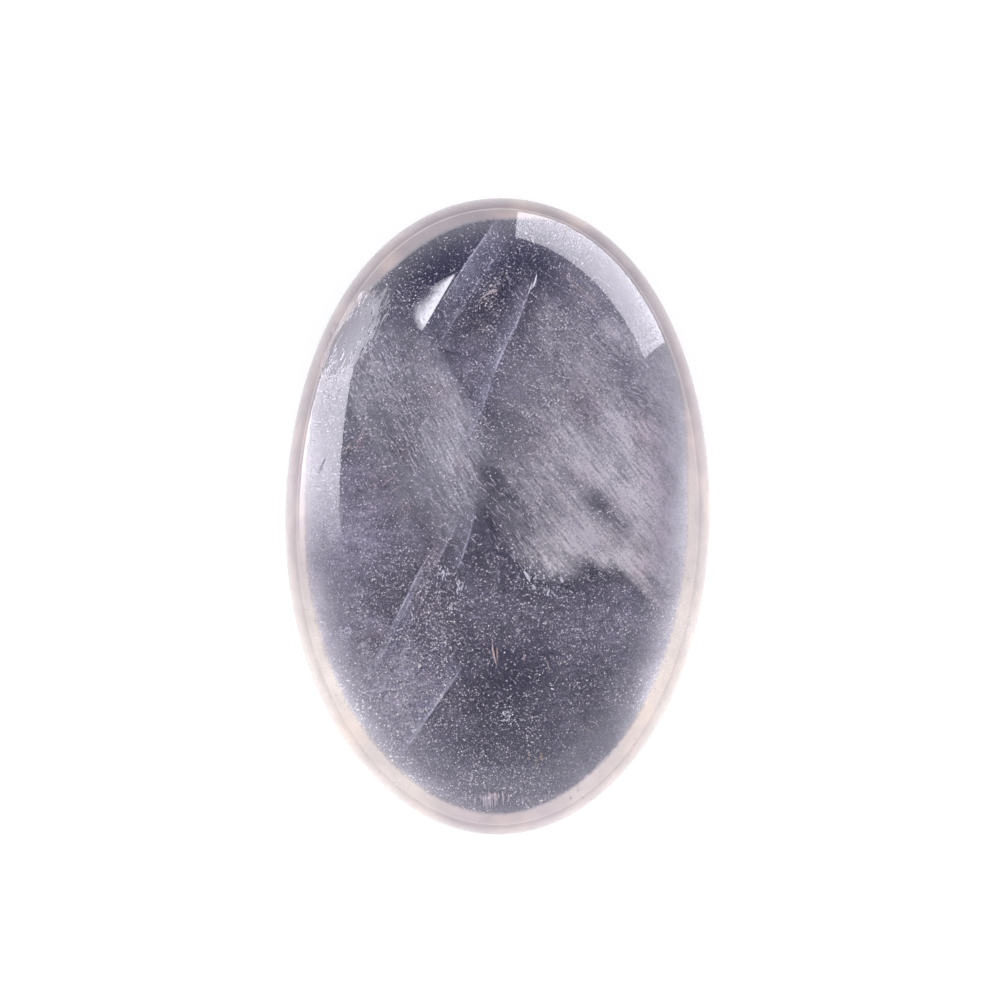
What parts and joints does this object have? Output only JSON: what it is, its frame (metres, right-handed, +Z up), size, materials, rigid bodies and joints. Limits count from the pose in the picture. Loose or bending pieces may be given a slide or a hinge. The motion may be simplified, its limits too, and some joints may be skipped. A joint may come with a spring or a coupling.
{
  "type": "palm stone",
  "caption": "Oval polished quartz palm stone: a smooth, low-domed pebble that fills the palm and lies flat on its underside.",
  "frame": {"origin": "bottom centre of the stone, on the flat spot that it rests on", "axes": "+Z up through the low dome, Y along the length with +Y at the blunter end, X across the width"},
  "size_m": [0.04, 0.06, 0.0164],
  "materials": {
    "quartz": "polished clear to milky quartz with a faint lavender cast",
    "milky_inclusions": "whitish veils, healed cracks and specks inside the quartz"
  },
  "bodies": {
    "root": {"palm_stone": "quartz"}
  },
  "joints": []
}
